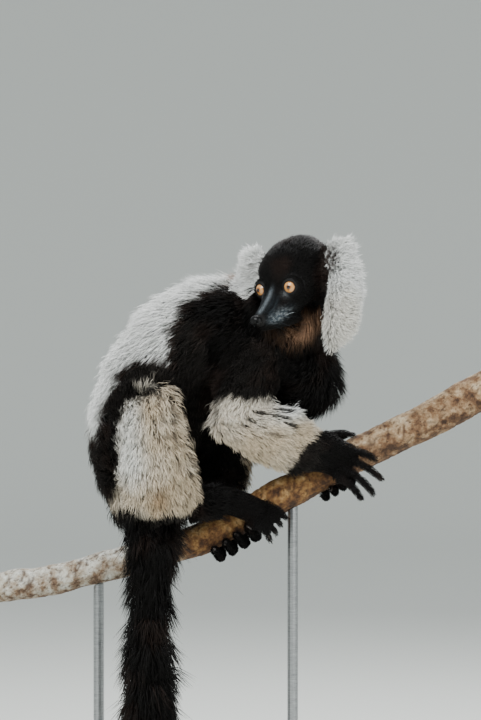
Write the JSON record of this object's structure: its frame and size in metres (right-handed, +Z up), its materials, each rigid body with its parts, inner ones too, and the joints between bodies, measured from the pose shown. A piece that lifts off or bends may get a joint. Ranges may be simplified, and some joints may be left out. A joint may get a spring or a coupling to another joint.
{
  "type": "black-and-white ruffed lemur",
  "caption": "Life-size still figure of a black-and-white ruffed lemur crouched on a short cut branch, looking back over its shoulder, on a flat base with upright rods.",
  "frame": {"origin": "middle of the display base's flat underside", "axes": "+Z up, +X along the branch the way the animal's body faces, -Y towards the animal's right side and its face"},
  "size_m": [0.5638, 0.26, 0.9363],
  "materials": {
    "coat_black": "soft black fur",
    "coat_white": "soft white fur",
    "coat_cream": "woolly cream fur",
    "eye": "wet amber eye",
    "nose_leather": "moist black skin",
    "bark": "rough mottled bark, sawn ends",
    "dark_wood": "satin dark wood",
    "steel": "satin steel"
  },
  "bodies": {
    "root": {"chest": "coat_black", "ear_left": "coat_white", "ear_right": "coat_white", "eye_left": "eye", "eye_right": "eye", "finger_left_1": "coat_black", "finger_left_2": "coat_black", "finger_left_3": "coat_black", "finger_left_4": "coat_black", "finger_left_5": "coat_black", "finger_right_1": "coat_black", "finger_right_2": "coat_black", "finger_right_3": "coat_black", "finger_right_4": "coat_black", "finger_right_5": "coat_black", "foot_left": "coat_black", "foot_right": "coat_black", "forearm_left": "coat_cream", "forearm_right": "coat_cream", "hand_left": "coat_black", "hand_right": "coat_black", "head": "coat_black", "jaw": "coat_black", "loin": "coat_white", "neck": "coat_black", "nose": "nose_leather", "perch": "bark", "ruff_left": "coat_white", "ruff_right": "coat_white", "rump": "coat_white", "shank_left": "coat_cream", "shank_right": "coat_cream", "stand_base": "dark_wood", "stand_collar_left": "steel", "stand_collar_right": "steel", "stand_rod_left": "steel", "stand_rod_right": "steel", "tail_1": "coat_black", "tail_2": "coat_black", "tail_3": "coat_black", "tail_4": "coat_black", "tail_5": "coat_black", "thigh_left": "coat_cream", "thigh_right": "coat_cream", "toe_left_1": "coat_black", "toe_left_2": "coat_black", "toe_left_3": "coat_black", "toe_left_4": "coat_black", "toe_left_5": "coat_black", "toe_right_1": "coat_black", "toe_right_2": "coat_black", "toe_right_3": "coat_black", "toe_right_4": "coat_black", "toe_right_5": "coat_black", "upper_arm_left": "coat_black", "upper_arm_right": "coat_black"}
  },
  "joints": []
}
